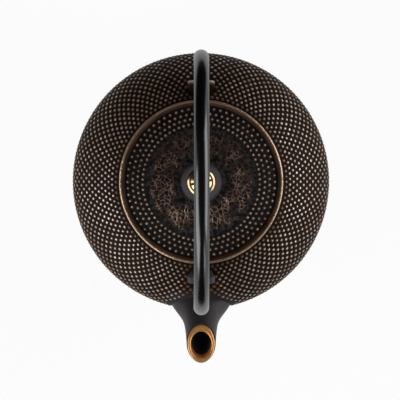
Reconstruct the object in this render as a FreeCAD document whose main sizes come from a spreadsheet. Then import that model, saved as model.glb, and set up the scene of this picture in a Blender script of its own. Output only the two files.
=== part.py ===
# Cast iron teapot with a side-to-side swinging bail, a lift-off lid and a lift-out strainer.
# The pot stands on z = 0 with its axis on Z, and its spout points along -Y. Sizes are in millimetres.
import FreeCAD
import Part
import Sketcher
import enum
import math
import os
import re

# Driving sizes, each set by itself. Angles are in degrees.
SIZES = {
    # Pot casting
    "body_radius": 81.7,  # widest radius, under the hobnails
    "equator_height": 45.0,
    "foot_radius": 47.0,
    "foot_height": 2.5,
    "foot_step": 2.5,  # how far the belly stands out over the foot
    "wall": 3.6,
    "floor_thickness": 5.0,
    "mouth_radius": 43.0,
    "mouth_height": 81.0,  # the flat seat that the lid rests on
    "seat_width": 3.6,
    "recess_width": 3.5,  # ledge in the mouth that carries the strainer
    "recess_depth": 1.4,
    "neck_wall": 4.2,
    "neck_depth": 6.0,
    # Spout, a rising tube with a level mouth that widens sideways towards the belly
    "spout_projection": 21.3,  # mouth centre beyond the belly
    "spout_drop": 2.0,  # mouth below the lid's seat
    "spout_slope": 47.0,
    "spout_half_width": 9.25,
    "spout_half_depth": 9.1,  # across the tube, in its upright plane
    "spout_taper": 0.07,  # widening of each side per length towards the belly
    "spout_root_depth": 14.0,  # start of the tube inside the belly
    "spout_flare": 10.0,  # widening of each side inside the belly
    "spout_flare_depth": 1.0,
    "spout_flare_length": 3.3,
    "spout_bore_radius": 6.5,
    "spout_bore_root_radius": 8.0,
    # Lugs, fan-shaped plates that lean outwards
    "lug_offset": 10.4,  # plate beyond the seat, at the height of its hole
    "lug_eye_height": 8.4,  # hole above the shoulder
    "lug_lean": 20.0,
    "lug_thickness": 4.6,
    "lug_top_width": 17.4,
    "lug_root_width": 11.0,
    "lug_rise": 6.8,  # top edge above the hole
    "lug_root": 12.0,  # root below the hole
    "lug_corner": 3.0,
    "lug_edge_round": 1.0,
    # Bail
    "bail_rod_radius": 4.95,
    "bail_bend_radius": 12.0,
    "bail_leg": 9.0,  # upright between the bend and the arch
    "pin_radius": 3.0,
    "pin_clearance": 0.3,
    "pin_overhang": 1.2,
    "pin_tip_round": 0.8,
    "bail_shoulder_gap": 0.5,
    "bail_taper": 2.6,
    # Lid
    "lid_overhang": 2.2,
    "bead_radius": 1.3,
    "bead_height": 4.2,  # top of the bead above the seat
    "groove_inset": 4.1,  # groove behind the bead, from the lid's edge
    "groove_height": 2.2,
    "lid_rise": 8.3,
    "lid_wall": 3.6,
    "skirt_clearance": 0.5,
    "skirt_wall": 3.0,
    "skirt_depth": 6.0,
    # Knob and its brass fastening
    "knob_radius": 13.1,
    "knob_height": 13.2,
    "knob_foot_radius": 8.4,
    "knob_foot_height": 1.2,
    "knob_neck_radius": 6.4,
    "knob_neck_height": 4.0,
    "knob_rim_height": 9.6,
    "knob_rim_inset": 2.8,
    "knob_crown": 0.3,  # fall of the top from its middle to its edge
    "knob_foot_curve": 3.5,
    "knob_under_curve": 9.0,
    "knob_rim_round": 3.3,
    "washer_radius": 8.9,
    "washer_clearance": 0.2,
    "washer_seat_depth": 0.8,
    "washer_edge": 0.5,
    "washer_thickness": 1.5,
    "washer_land": 0.3,
    "screw_head_radius": 6.9,
    "screw_head_height": 2.9,
    "screw_radius": 3.0,
    "screw_clearance": 0.2,
    "screw_tip": 1.5,
    "slot_width": 1.5,
    "slot_depth": 1.3,
    "slot_turn": 12.0,
    "nut_width": 10.0,
    "nut_height": 5.0,
    "nut_seat_margin": 1.6,
    "thread_clearance": 0.05,
    # Strainer
    "strainer_clearance": 0.4,
    "flange_thickness": 0.7,
    "sheet_thickness": 0.6,
    "collar_depth": 7.0,
    "strainer_depth": 49.0,
    "strainer_base_radius": 37.0,
    "base_rim": 3.0,
    "base_dish": 1.5,
}

# Sizes that follow from the driving ones.
WORKED_OUT = {
    "recess_radius": "mouth_radius + recess_width",
    "seat_radius": "recess_radius + seat_width",
    "recess_floor": "mouth_height - recess_depth",
    "shoulder": "(mouth_height - equator_height) / sqrt(1 - (seat_radius / body_radius)^2)",
    "belly_radius": "foot_radius + foot_step",
    "belly": "(equator_height - foot_height) / sqrt(1 - (belly_radius / body_radius)^2)",
    "inner_radius": "body_radius - wall",
    "inner_shoulder": "shoulder - wall",
    "inner_belly": "belly - wall",
    "neck_radius": "mouth_radius + neck_wall",
    "neck_root": "equator_height + inner_shoulder * sqrt(1 - (neck_radius / inner_radius)^2)",
    "neck_bottom": "mouth_height - neck_depth",
    "floor_drop": "equator_height - floor_thickness",
    "floor_radius": "inner_radius * sqrt(1 - (floor_drop / inner_belly)^2)",
    "floor_edge_radius": "body_radius * sqrt(1 - (floor_drop / belly)^2)",
    "spout_reach": "body_radius + spout_projection",
    "spout_height": "mouth_height - spout_drop",
    "spout_overrun": "1.5 * spout_half_width / tan(spout_slope)",
    "spout_run": "spout_root_depth + spout_projection + spout_overrun",
    "bore_run": "spout_projection + 2 * spout_root_depth",
    "bore_length": "bore_run / cos(spout_slope)",
    "bore_taper": "(spout_bore_root_radius - spout_bore_radius) / bore_length",
    "bore_overrun": "1.5 * spout_bore_radius / tan(spout_slope)",
    "bore_tip_radius": "spout_bore_radius - bore_taper * bore_overrun",
    "lug_reach": "seat_radius + lug_offset",
    "lug_shoulder": "equator_height + shoulder * sqrt(1 - (lug_reach / body_radius)^2)",
    "hinge_height": "lug_shoulder + lug_eye_height",
    "lug_hole_radius": "pin_radius + pin_clearance",
    "lug_half_depth": "lug_thickness / 2 / cos(lug_lean) + lug_hole_radius * tan(lug_lean)",
    "pin_tip_reach": "lug_reach - lug_half_depth - pin_overhang",
    "taper_reach": "lug_reach + lug_half_depth + bail_shoulder_gap",
    "bend_reach": "taper_reach + bail_taper",
    "bail_half_span": "bend_reach + bail_bend_radius",
    "arch_height": "hinge_height + bail_bend_radius + bail_leg",
    "lid_radius": "seat_radius + lid_overhang",
    "bead_inner": "lid_radius - 2 * bead_radius",
    "bead_centre_height": "mouth_height + bead_height - bead_radius",
    "groove_radius": "lid_radius - groove_inset",
    "groove_floor": "mouth_height + groove_height",
    "dome_radius": "(groove_radius^2 + lid_rise^2) / (2 * lid_rise)",
    "dome_centre": "groove_floor + lid_rise - dome_radius",
    "dome_inner_radius": "dome_radius - lid_wall",
    "knob_seat": "dome_centre + sqrt(dome_radius^2 - knob_foot_radius^2)",
    "nut_seat_radius": "nut_width / 2 / cos(30) + nut_seat_margin",
    "nut_seat": "dome_centre + sqrt(dome_inner_radius^2 - nut_seat_radius^2)",
    "screw_hole": "screw_radius + screw_clearance",
    "collar_radius": "mouth_radius - strainer_clearance",
    "collar_inner": "collar_radius - sheet_thickness",
    "skirt_radius": "collar_inner - skirt_clearance",
    "skirt_inner": "skirt_radius - skirt_wall",
    "skirt_root": "dome_centre + sqrt(dome_inner_radius^2 - skirt_inner^2)",
    "skirt_bottom": "mouth_height - skirt_depth",
    "knob_top": "knob_seat + knob_height",
    "washer_recess": "washer_radius + washer_clearance",
    "washer_seat": "knob_top - washer_seat_depth",
    "head_seat": "washer_seat + washer_thickness",
    "head_top": "head_seat + screw_head_height",
    "head_curve": "(screw_head_radius^2 + screw_head_height^2) / (2 * screw_head_height)",
    "nut_bottom": "nut_seat - nut_height",
    "screw_bottom": "nut_bottom - screw_tip",
    "flange_radius": "recess_radius - strainer_clearance",
    "flange_top": "recess_floor + flange_thickness",
    "collar_bottom": "recess_floor - collar_depth",
    "strainer_bottom": "recess_floor - strainer_depth",
}

doc = FreeCAD.newDocument("teapot")
dims = doc.addObject("Spreadsheet::Sheet", "dims")
for row, (alias, size) in enumerate(SIZES.items(), start=1):
    dims.set(f"A{row}", alias)
    dims.set(f"B{row}", str(size))
    dims.setAlias(f"B{row}", alias)
for row, (alias, formula) in enumerate(WORKED_OUT.items(), start=len(SIZES) + 1):
    dims.set(f"A{row}", alias)
    dims.set(f"B{row}", "=" + formula)
    dims.setAlias(f"B{row}", alias)
doc.recompute()

X_AXIS = FreeCAD.Vector(1, 0, 0)
Z_AXIS = FreeCAD.Vector(0, 0, 1)
TOUCH = 0.001

# Number of even steps between the spout's sections
SPOUT_STEPS = 8


class SketchAxis(enum.IntEnum):
    HORIZONTAL = -1
    VERTICAL = -2


class SketchPoint(enum.IntEnum):
    START = 1
    END = 2
    CENTRE = 3


# Which ends of a side come first and last on the way round an outline
FORWARD = (SketchPoint.START, SketchPoint.END)
BACKWARD = (SketchPoint.END, SketchPoint.START)


def cells(expression):
    """Writes the sheet's name before each size in an expression."""
    def named(match):
        word = match.group()
        return "dims." + word if word in SIZES or word in WORKED_OUT else word
    return re.sub(r"[a-z_]+", named, expression)


def value(expression):
    return float(dims.evalExpression(cells(expression)))


def bind(item, **expressions):
    """Ties properties of an object to the sheet."""
    for name, expression in expressions.items():
        item.setExpression(name, cells(expression))


def new_body(name):
    return doc.addObject("PartDesign::Body", name)


def attach(item, body, role, across="0", up="0", out="0", turn=None, axis=X_AXIS):
    """Puts a sketch or primitive on a plane of its body's origin, moved and turned in that plane."""
    planes = [feature for feature in body.Origin.OriginFeatures if feature.Role == role]
    item.AttachmentSupport = (planes[0], [""])
    item.MapMode = "FlatFace"
    if turn:
        item.AttachmentOffset = FreeCAD.Placement(FreeCAD.Vector(), FreeCAD.Rotation(axis, value(turn)))
        item.setExpression("AttachmentOffset.Rotation.Angle", cells(turn))
    item.setExpression("AttachmentOffset.Base.x", cells(across))
    item.setExpression("AttachmentOffset.Base.y", cells(up))
    item.setExpression("AttachmentOffset.Base.z", cells(out))


def drive(sketch, kind, geometry, point, expression):
    """Sets one coordinate of a sketch point, measured from the sketch's origin."""
    if expression == "0":
        axis = SketchAxis.VERTICAL if kind == "DistanceX" else SketchAxis.HORIZONTAL
        sketch.addConstraint(Sketcher.Constraint("PointOnObject", geometry, point, axis))
        return
    rule = sketch.addConstraint(Sketcher.Constraint(kind, -1, 1, geometry, point, value(expression)))
    sketch.setExpression(f"Constraints[{rule}]", cells(expression))


def add_round(sketch, start, end, radius, left):
    """Adds an arc of a given radius from start to end, with its centre on the left or right of the way."""
    size = value(radius)
    chord = end - start
    rise = math.sqrt(max(size ** 2 - chord.Length ** 2 / 4, 0))
    side = FreeCAD.Vector(-chord.y, chord.x, 0).normalize()
    centre = (start + end) / 2 + side * (rise if left else -rise)
    first, last = (start, end) if left else (end, start)
    angles = [math.atan2(point.y - centre.y, point.x - centre.x) for point in (first, last)]
    circle = Part.Circle(centre, Z_AXIS, size)
    geometry = sketch.addGeometry(Part.ArcOfCircle(circle, angles[0], angles[1]))
    return geometry, FORWARD if left else BACKWARD


def add_half_round(sketch, start, end):
    """Adds a half circle that rises over the line from start to end."""
    radius = abs(end.x - start.x) / 2
    circle = Part.Circle((start + end) / 2, Z_AXIS, radius)
    geometry = sketch.addGeometry(Part.ArcOfCircle(circle, 0, math.pi))
    return geometry, FORWARD if end.x < start.x else BACKWARD


def add_oval(sketch, start, end, half_width, half_height, middle):
    """Adds a quarter-like arc of an upright oval, centred on the sketch's vertical axis."""
    wide = value(half_width)
    high = value(half_height)
    centre = FreeCAD.Vector(0, value(middle), 0)
    angles = [math.atan2((point.y - centre.y) / high, point.x / wide) for point in (start, end)]
    oval = Part.Ellipse(centre, wide, high)
    geometry = sketch.addGeometry(Part.ArcOfEllipse(oval, min(angles), max(angles)))
    return geometry, FORWARD if angles[0] < angles[1] else BACKWARD


def hold_oval(sketch, geometry, middle):
    """Keeps an oval level and centred at a height on the vertical axis."""
    major_line = sketch.GeometryCount
    sketch.exposeInternalGeometry(geometry)
    sketch.addConstraint(Sketcher.Constraint("Horizontal", major_line))
    drive(sketch, "DistanceX", geometry, SketchPoint.CENTRE, "0")
    drive(sketch, "DistanceY", geometry, SketchPoint.CENTRE, middle)


def outline(body, name, corners, curves=None, role="XZ_Plane", closed=True, **place):
    """Draws a sketch through corners, pairs of expressions. curves says which sides are not straight,
    by the number of the corner that the side starts at."""
    curves = curves or {}
    sketch = body.newObject("Sketcher::SketchObject", name)
    attach(sketch, body, role, **place)
    points = [FreeCAD.Vector(value(across), value(up), 0) for across, up in corners]
    count = len(corners)
    sides = []
    for index in range(count if closed else count - 1):
        start = points[index]
        end = points[(index + 1) % count]
        kind, *sizes = curves.get(index, ("line",))
        if kind == "line":
            sides.append((sketch.addGeometry(Part.LineSegment(start, end)), FORWARD))
        elif kind == "oval":
            sides.append(add_oval(sketch, start, end, *sizes))
        elif kind == "half":
            sides.append(add_half_round(sketch, start, end))
        else:
            sides.append(add_round(sketch, start, end, sizes[0], kind == "left"))
    for index, (geometry, (start_point, end_point)) in enumerate(sides):
        across, up = corners[index]
        drive(sketch, "DistanceX", geometry, start_point, across)
        drive(sketch, "DistanceY", geometry, start_point, up)
        if closed or index + 1 < len(sides):
            following, (next_start, _) = sides[(index + 1) % len(sides)]
            sketch.addConstraint(
                Sketcher.Constraint("Coincident", geometry, end_point, following, next_start))
        else:
            across, up = corners[-1]
            drive(sketch, "DistanceX", geometry, end_point, across)
            drive(sketch, "DistanceY", geometry, end_point, up)
    for index, (kind, *sizes) in curves.items():
        geometry = sides[index][0]
        if kind == "oval":
            hold_oval(sketch, geometry, sizes[2])
        elif kind == "half":
            drive(sketch, "DistanceY", geometry, SketchPoint.CENTRE, sizes[0])
        else:
            rule = sketch.addConstraint(Sketcher.Constraint("Radius", geometry, value(sizes[0])))
            sketch.setExpression(f"Constraints[{rule}]", cells(sizes[0]))
    return sketch


def disc(body, name, radius, role, **place):
    """Draws a circle about the sketch's origin."""
    sketch = body.newObject("Sketcher::SketchObject", name)
    attach(sketch, body, role, **place)
    circle = sketch.addGeometry(Part.Circle(FreeCAD.Vector(), Z_AXIS, value(radius)))
    sketch.addConstraint(Sketcher.Constraint("Coincident", circle, SketchPoint.CENTRE, -1, 1))
    rule = sketch.addConstraint(Sketcher.Constraint("Radius", circle, value(radius)))
    sketch.setExpression(f"Constraints[{rule}]", cells(radius))
    return sketch


def oval_disc(body, name, half_width, half_depth, role, **place):
    """Draws an oval about the sketch's origin, wider than it is deep."""
    sketch = body.newObject("Sketcher::SketchObject", name)
    attach(sketch, body, role, **place)
    side = FreeCAD.Vector(value(half_width), 0, 0)
    top = FreeCAD.Vector(0, value(half_depth), 0)
    oval = sketch.addGeometry(Part.Ellipse(side, top, FreeCAD.Vector()))
    major_line = sketch.GeometryCount
    minor_line = major_line + 1
    sketch.exposeInternalGeometry(oval)
    sketch.addConstraint(Sketcher.Constraint("Coincident", oval, SketchPoint.CENTRE, -1, 1))
    sketch.addConstraint(Sketcher.Constraint("Horizontal", major_line))
    for line, length in ((major_line, half_width), (minor_line, half_depth)):
        rule = sketch.addConstraint(Sketcher.Constraint("Distance", line, 2 * value(length)))
        sketch.setExpression(f"Constraints[{rule}]", cells(f"2 * ({length})"))
    return sketch


def spout_section(body, step):
    """Draws a section square to the spout's rising axis. The sections widen towards the belly."""
    beyond = f"({step} / {SPOUT_STEPS} * spout_run - spout_root_depth)"
    taper = f"spout_taper * (spout_projection - {beyond})"
    fade = f"(1 + exp({beyond} / spout_flare_length))"
    return oval_disc(
        body, f"spout_section_{step}",
        f"spout_half_width + {taper} + spout_flare / {fade}",
        f"spout_half_depth + {taper} + spout_flare_depth / {fade}",
        "XZ_Plane", up=f"spout_height + ({beyond} - spout_projection) * tan(spout_slope)",
        out=f"body_radius + {beyond}", turn="spout_slope", axis=-X_AXIS)


def turned(body, name, sketch, kind="Revolution"):
    """Turns a sketch fully about its vertical axis, as a solid or as a cut."""
    feature = body.newObject("PartDesign::" + kind, name)
    feature.Profile = sketch
    feature.ReferenceAxis = (sketch, ["V_Axis"])
    feature.Angle = 360
    sketch.Visibility = False
    return feature


def padded(body, name, sketch, length, sides="One side"):
    feature = body.newObject("PartDesign::Pad", name)
    feature.Profile = sketch
    feature.SideType = sides
    bind(feature, Length=length)
    return feature


def primitive(body, kind, name, sizes, role, **place):
    feature = body.newObject("PartDesign::" + kind, name)
    attach(feature, body, role, **place)
    bind(feature, **sizes)
    return feature


def rounded(body, name, radius, chosen):
    """Rounds the edges of the body so far that a test chooses."""
    doc.recompute()
    base = body.Tip
    names = [f"Edge{number}" for number, edge in enumerate(base.Shape.Edges, start=1) if chosen(edge)]
    feature = body.newObject("PartDesign::Fillet", name)
    feature.Base = (base, names)
    bind(feature, Radius=radius)
    return feature


def make_lugs(body):
    """Makes the two plates that carry the bail, each drawn with its hole at the sketch's origin."""
    for end, side, lean_axis in (("front", "1", X_AXIS), ("rear", "-1", -X_AXIS)):
        fan = outline(body, f"{end}_lug_fan", [
            ("-lug_root_width / 2", "-lug_root"),
            ("lug_root_width / 2", "-lug_root"),
            ("lug_top_width / 2", "lug_rise - lug_corner"),
            ("lug_top_width / 2 - lug_corner", "lug_rise"),
            ("lug_corner - lug_top_width / 2", "lug_rise"),
            ("-lug_top_width / 2", "lug_rise - lug_corner"),
        ], curves={
            2: ("left", "lug_corner"),
            4: ("left", "lug_corner"),
        }, up="hinge_height", out=f"{side} * lug_reach", turn="lug_lean", axis=lean_axis)
        padded(body, f"{end}_lug", fan, "lug_thickness", "Symmetric")
    rounded(body, "lug_edges", "lug_edge_round", lambda edge: True)
    for end, side in (("front", "1"), ("rear", "-1")):
        primitive(body, "SubtractiveCylinder", f"{end}_lug_hole", {
            "Radius": "lug_hole_radius",
            "Height": "2 * lug_half_depth",
        }, role="XZ_Plane", up="hinge_height", out=f"{side} * lug_reach - lug_half_depth")


def belly_outline(body, name):
    """Draws the belly's filled outline, from the level of the pot's floor up to the lid's seat."""
    return outline(body, name, [
        ("0", "floor_thickness"),
        ("floor_edge_radius", "floor_thickness"),
        ("body_radius", "equator_height"),
        ("seat_radius", "mouth_height"),
        ("0", "mouth_height"),
    ], curves={
        1: ("oval", "body_radius", "belly", "equator_height"),
        2: ("oval", "body_radius", "shoulder", "equator_height"),
    })


def cut_spout_bore(body):
    primitive(body, "SubtractiveCone", "spout_bore", {
        "Radius1": "spout_bore_root_radius",
        "Radius2": "bore_tip_radius",
        "Height": "bore_length + bore_overrun",
    }, role="XY_Plane", up="bore_run - spout_reach", out="spout_height - bore_run * tan(spout_slope)",
        turn="90 - spout_slope")


def make_spout():
    """Makes the spout past its mouth and into the belly, and then cuts it level and to the belly."""
    body = new_body("spout")
    sections = [spout_section(body, step) for step in range(SPOUT_STEPS + 1)]
    tube = body.newObject("PartDesign::AdditiveLoft", "spout_tube")
    tube.Profile = sections[0]
    tube.Sections = sections[1:]
    primitive(body, "SubtractiveBox", "spout_mouth", {
        "Length": "4 * spout_half_width",
        "Width": "spout_projection + 2 * spout_overrun",
        "Height": "2 * spout_half_width + 2 * spout_overrun",
    }, role="XY_Plane", across="-2 * spout_half_width",
        up="-spout_reach - 2 * spout_overrun", out="spout_height")
    turned(body, "spout_seat", belly_outline(body, "spout_belly"), "Groove")
    cut_spout_bore(body)
    return body


def make_foot():
    body = new_body("pot_foot")
    section = outline(body, "foot_section", [
        ("0", "0"),
        ("foot_radius", "0"),
        ("foot_radius", "foot_height"),
        ("belly_radius", "foot_height"),
        ("floor_edge_radius", "floor_thickness"),
        ("0", "floor_thickness"),
    ], curves={3: ("oval", "body_radius", "belly", "equator_height")})
    turned(body, "foot_casting", section)
    return body


def make_pot():
    body = new_body("pot_body")
    body.AllowCompound = True
    make_lugs(body)
    turned(body, "casting", belly_outline(body, "pot_outside"))
    inside = outline(body, "pot_inside", [
        ("0", "floor_thickness"),
        ("floor_radius", "floor_thickness"),
        ("inner_radius", "equator_height"),
        ("neck_radius", "neck_root"),
        ("neck_radius", "neck_bottom"),
        ("mouth_radius", "neck_bottom"),
        ("mouth_radius", "recess_floor"),
        ("recess_radius", "recess_floor"),
        ("recess_radius", "mouth_height"),
        ("0", "mouth_height"),
    ], curves={
        1: ("oval", "inner_radius", "inner_belly", "equator_height"),
        2: ("oval", "inner_radius", "inner_shoulder", "equator_height"),
    })
    turned(body, "cavity", inside, "Groove")
    cut_spout_bore(body)
    return body


def make_bail():
    body = new_body("bail_handle")
    path = outline(body, "bail_path", [
        ("-bend_reach", "hinge_height"),
        ("-bail_half_span", "hinge_height + bail_bend_radius"),
        ("-bail_half_span", "arch_height"),
        ("bail_half_span", "arch_height"),
        ("bail_half_span", "hinge_height + bail_bend_radius"),
        ("bend_reach", "hinge_height"),
    ], curves={
        0: ("right", "bail_bend_radius"),
        2: ("half", "arch_height"),
        4: ("right", "bail_bend_radius"),
    }, role="YZ_Plane", closed=False)
    section = disc(body, "bail_section", "bail_rod_radius", "XZ_Plane", up="hinge_height", out="bend_reach")
    rod = body.newObject("PartDesign::AdditivePipe", "bail_rod")
    rod.Profile = section
    rod.Spine = path
    doc.recompute()

    # Each end narrows to a pin that points at the pot's axis.
    tapers = {
        "front": ("taper_reach", "pin_radius", "bail_rod_radius"),
        "rear": ("-bend_reach", "bail_rod_radius", "pin_radius"),
    }
    for end, (start, first_radius, last_radius) in tapers.items():
        primitive(body, "AdditiveCone", f"{end}_taper", {
            "Radius1": first_radius,
            "Radius2": last_radius,
            "Height": "bail_taper",
        }, role="XZ_Plane", up="hinge_height", out=start)
    for end, start in (("front", "pin_tip_reach"), ("rear", "-taper_reach")):
        primitive(body, "AdditiveCylinder", f"{end}_pin", {
            "Radius": "pin_radius",
            "Height": "taper_reach - pin_tip_reach",
        }, role="XZ_Plane", up="hinge_height", out=start)
    tip = value("pin_tip_reach")
    rounded(body, "pin_tips", "pin_tip_round", lambda edge: (
        abs(abs(edge.CenterOfMass.y) - tip) < TOUCH))
    return body


def make_lid():
    body = new_body("lid")
    section = outline(body, "lid_section", [
        ("screw_hole", "knob_seat"),
        ("screw_hole", "nut_seat"),
        ("nut_seat_radius", "nut_seat"),
        ("skirt_inner", "skirt_root"),
        ("skirt_inner", "skirt_bottom"),
        ("skirt_radius", "skirt_bottom"),
        ("skirt_radius", "mouth_height"),
        ("lid_radius", "mouth_height"),
        ("lid_radius", "bead_centre_height"),
        ("bead_inner", "bead_centre_height"),
        ("groove_radius", "groove_floor"),
        ("knob_foot_radius", "knob_seat"),
    ], curves={
        2: ("right", "dome_inner_radius"),
        8: ("half", "bead_centre_height"),
        10: ("left", "dome_radius"),
    })
    turned(body, "lid_casting", section)
    return body


def make_knob():
    body = new_body("lid_knob")
    section = outline(body, "knob_section", [
        ("screw_hole", "knob_seat"),
        ("knob_foot_radius", "knob_seat"),
        ("knob_foot_radius", "knob_seat + knob_foot_height"),
        ("knob_neck_radius", "knob_seat + knob_neck_height"),
        ("knob_radius", "knob_seat + knob_rim_height"),
        ("knob_radius - knob_rim_inset", "knob_top - knob_crown"),
        ("washer_recess", "knob_top"),
        ("washer_recess", "washer_seat"),
        ("screw_hole", "washer_seat"),
    ], curves={
        2: ("right", "knob_foot_curve"),
        3: ("right", "knob_under_curve"),
        4: ("left", "knob_rim_round"),
    })
    turned(body, "knob_turning", section)
    return body


def make_washer():
    body = new_body("knob_washer")
    section = outline(body, "washer_section", [
        ("screw_hole", "washer_seat"),
        ("washer_radius", "washer_seat"),
        ("washer_radius", "washer_seat + washer_edge"),
        ("screw_head_radius + washer_land", "head_seat"),
        ("screw_hole", "head_seat"),
    ])
    turned(body, "washer_turning", section)
    return body


def make_screw():
    body = new_body("knob_screw")
    section = outline(body, "screw_section", [
        ("0", "screw_bottom"),
        ("screw_radius", "screw_bottom"),
        ("screw_radius", "head_seat"),
        ("screw_head_radius", "head_seat"),
        ("0", "head_top"),
    ], curves={3: ("left", "head_curve")})
    turned(body, "screw_turning", section)
    slot = outline(body, "slot_outline", [
        ("-2 * screw_head_radius", "-slot_width / 2"),
        ("2 * screw_head_radius", "-slot_width / 2"),
        ("2 * screw_head_radius", "slot_width / 2"),
        ("-2 * screw_head_radius", "slot_width / 2"),
    ], role="XY_Plane", out="head_top", turn="slot_turn", axis=Z_AXIS)
    cut = body.newObject("PartDesign::Pocket", "screw_slot")
    cut.Profile = slot
    bind(cut, Length="slot_depth")
    return body


def make_nut():
    body = new_body("knob_nut")
    corner = "nut_width / 2 / cos(30)"
    hexagon = outline(body, "nut_outline", [
        (f"{corner} * cos({60 * side + 30})", f"{corner} * sin({60 * side + 30})") for side in range(6)
    ], role="XY_Plane", out="nut_bottom")
    padded(body, "nut_block", hexagon, "nut_height")
    primitive(body, "SubtractiveCylinder", "nut_thread", {
        "Radius": "screw_radius + thread_clearance",
        "Height": "nut_height",
    }, role="XY_Plane", out="nut_bottom")
    return body


def make_strainer_rim():
    body = new_body("strainer_rim")
    section = outline(body, "rim_section", [
        ("collar_inner", "flange_top"),
        ("collar_inner", "collar_bottom"),
        ("collar_radius", "collar_bottom"),
        ("collar_radius", "recess_floor"),
        ("flange_radius", "recess_floor"),
        ("flange_radius", "flange_top"),
    ])
    turned(body, "rim_pressing", section)
    return body


def make_strainer_wall():
    body = new_body("strainer_wall")
    section = outline(body, "wall_section", [
        ("collar_inner", "collar_bottom"),
        ("strainer_base_radius - sheet_thickness", "strainer_bottom"),
        ("strainer_base_radius", "strainer_bottom"),
        ("collar_radius", "collar_bottom"),
    ])
    turned(body, "wall_sheet", section)
    return body


def make_strainer_base():
    body = new_body("strainer_base")
    section = outline(body, "base_section", [
        ("0", "strainer_bottom - base_dish"),
        ("0", "strainer_bottom - base_dish - sheet_thickness"),
        ("strainer_base_radius - base_rim", "strainer_bottom - sheet_thickness"),
        ("strainer_base_radius", "strainer_bottom - sheet_thickness"),
        ("strainer_base_radius", "strainer_bottom"),
        ("strainer_base_radius - base_rim", "strainer_bottom"),
    ])
    turned(body, "base_pressing", section)
    return body


pieces = [
    make_pot(),
    make_spout(),
    make_foot(),
    make_bail(),
    make_lid(),
    make_knob(),
    make_washer(),
    make_screw(),
    make_nut(),
    make_strainer_rim(),
    make_strainer_wall(),
    make_strainer_base(),
]
doc.recompute()
for item in doc.Objects:
    if "Invalid" in item.State or "Error" in item.State:
        raise RuntimeError(f"{item.Label} failed: {item.State}")
for piece in pieces:
    shape = piece.Shape
    if shape.isNull() or not shape.isValid() or len(shape.Solids) != 1:
        raise RuntimeError(f"{piece.Label} is not one valid solid")
os.makedirs("parts", exist_ok=True)
for piece in pieces:
    piece.Shape.exportStep(f"parts/{piece.Label}.step")
    print(f"{piece.Label}: {piece.Shape.Volume / 1000:.2f} cm3")
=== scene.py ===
# Looks of a cast iron teapot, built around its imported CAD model. Lengths are in metres.
import bpy
import math
import numpy as np
from mathutils import Matrix, Vector, noise
from mathutils.bvhtree import BVHTree


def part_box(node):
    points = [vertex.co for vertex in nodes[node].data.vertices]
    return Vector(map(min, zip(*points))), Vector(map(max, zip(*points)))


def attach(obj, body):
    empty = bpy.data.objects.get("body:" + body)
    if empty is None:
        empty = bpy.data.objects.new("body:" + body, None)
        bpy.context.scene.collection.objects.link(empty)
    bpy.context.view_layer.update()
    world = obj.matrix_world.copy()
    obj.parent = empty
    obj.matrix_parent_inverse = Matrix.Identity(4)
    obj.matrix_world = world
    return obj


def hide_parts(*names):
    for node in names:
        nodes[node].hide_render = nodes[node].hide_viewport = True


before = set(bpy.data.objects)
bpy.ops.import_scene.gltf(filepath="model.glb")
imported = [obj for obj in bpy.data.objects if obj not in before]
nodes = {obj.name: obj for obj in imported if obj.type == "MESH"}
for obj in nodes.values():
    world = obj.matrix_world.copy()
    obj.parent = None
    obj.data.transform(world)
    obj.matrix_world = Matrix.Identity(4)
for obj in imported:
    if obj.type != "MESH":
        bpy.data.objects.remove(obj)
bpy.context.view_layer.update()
MM = 0.001

# Camera, from the photograph
PHOTO_PIXELS = 400
PIXEL = 0.6397 * MM  # at the height of the belly's widest ring
AXIS_PIXEL = (200.95, 181.2)  # the pot's axis at that height
WIDEST_HEIGHT = 45 * MM
CAMERA_DISTANCE = 6.5
SIGHT_LEAN = (-0.0035, 0.0130)  # of the line of sight, per length of height
SIGHT_END = 50  # farthest that the camera sees
SENSOR = 36.0

# One hobnail
NAIL_OUTLINE = ((1.0, -0.2), (0.74, 0.45), (0.38, 0.86), (0.0, 1.0))  # shares of its radius and height
NAIL_SIDES = 8
WIDTH_SPREAD = (0.95, 1.05)
HEIGHT_SPREAD = (0.92, 1.08)
RUB_SPREAD = (0.84, 1.0)

# Hobnails on the belly
NAILS_PER_ROW = 100
ROW_START = 54.1 * MM  # radius of the row next to the lid
ROW_STEP = 2.6 * MM  # along the belly
ROW_LOWEST = 13 * MM
NAIL_SPREAD = 0.42  # radius of a nail, as a share of the way to its nearest neighbour
NAIL_HEIGHT = 0.45 * MM
FIRST_ROW_SHADE_RUB = 0.78  # rub of the row next to the lid, as a share of the other rows', lowered as painted shade under the lid's overhang and for dirt
LUG_SHADE_RUB = 0.62  # rub of the nails beside the lugs and the bail, likewise, lowered as painted shade of the lugs and the bail
LUG_SHADE_REACH = (8.5 * MM, 14 * MM)  # to either side, from full painted shade to none
BARE_SPOUT = (21 * MM, 19 * MM)  # half sizes of the patch without nails round the spout's root
BARE_SPOUT_HEIGHT = 50 * MM  # of that patch's middle
BARE_LUG = (9.4 * MM, 7.5 * MM)  # half sizes of the patch without nails round each lug
LUG_REACH = 61.0 * MM  # from the pot's axis to that patch's middle
LUG_EDGE = 64.7 * MM  # from the axis to a lug's outer edge
BELLY_SLOPES = (36, -34)  # degrees from the widest ring's middle, where the outline starts and ends
OUTLINE_POINTS = 1200

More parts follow.
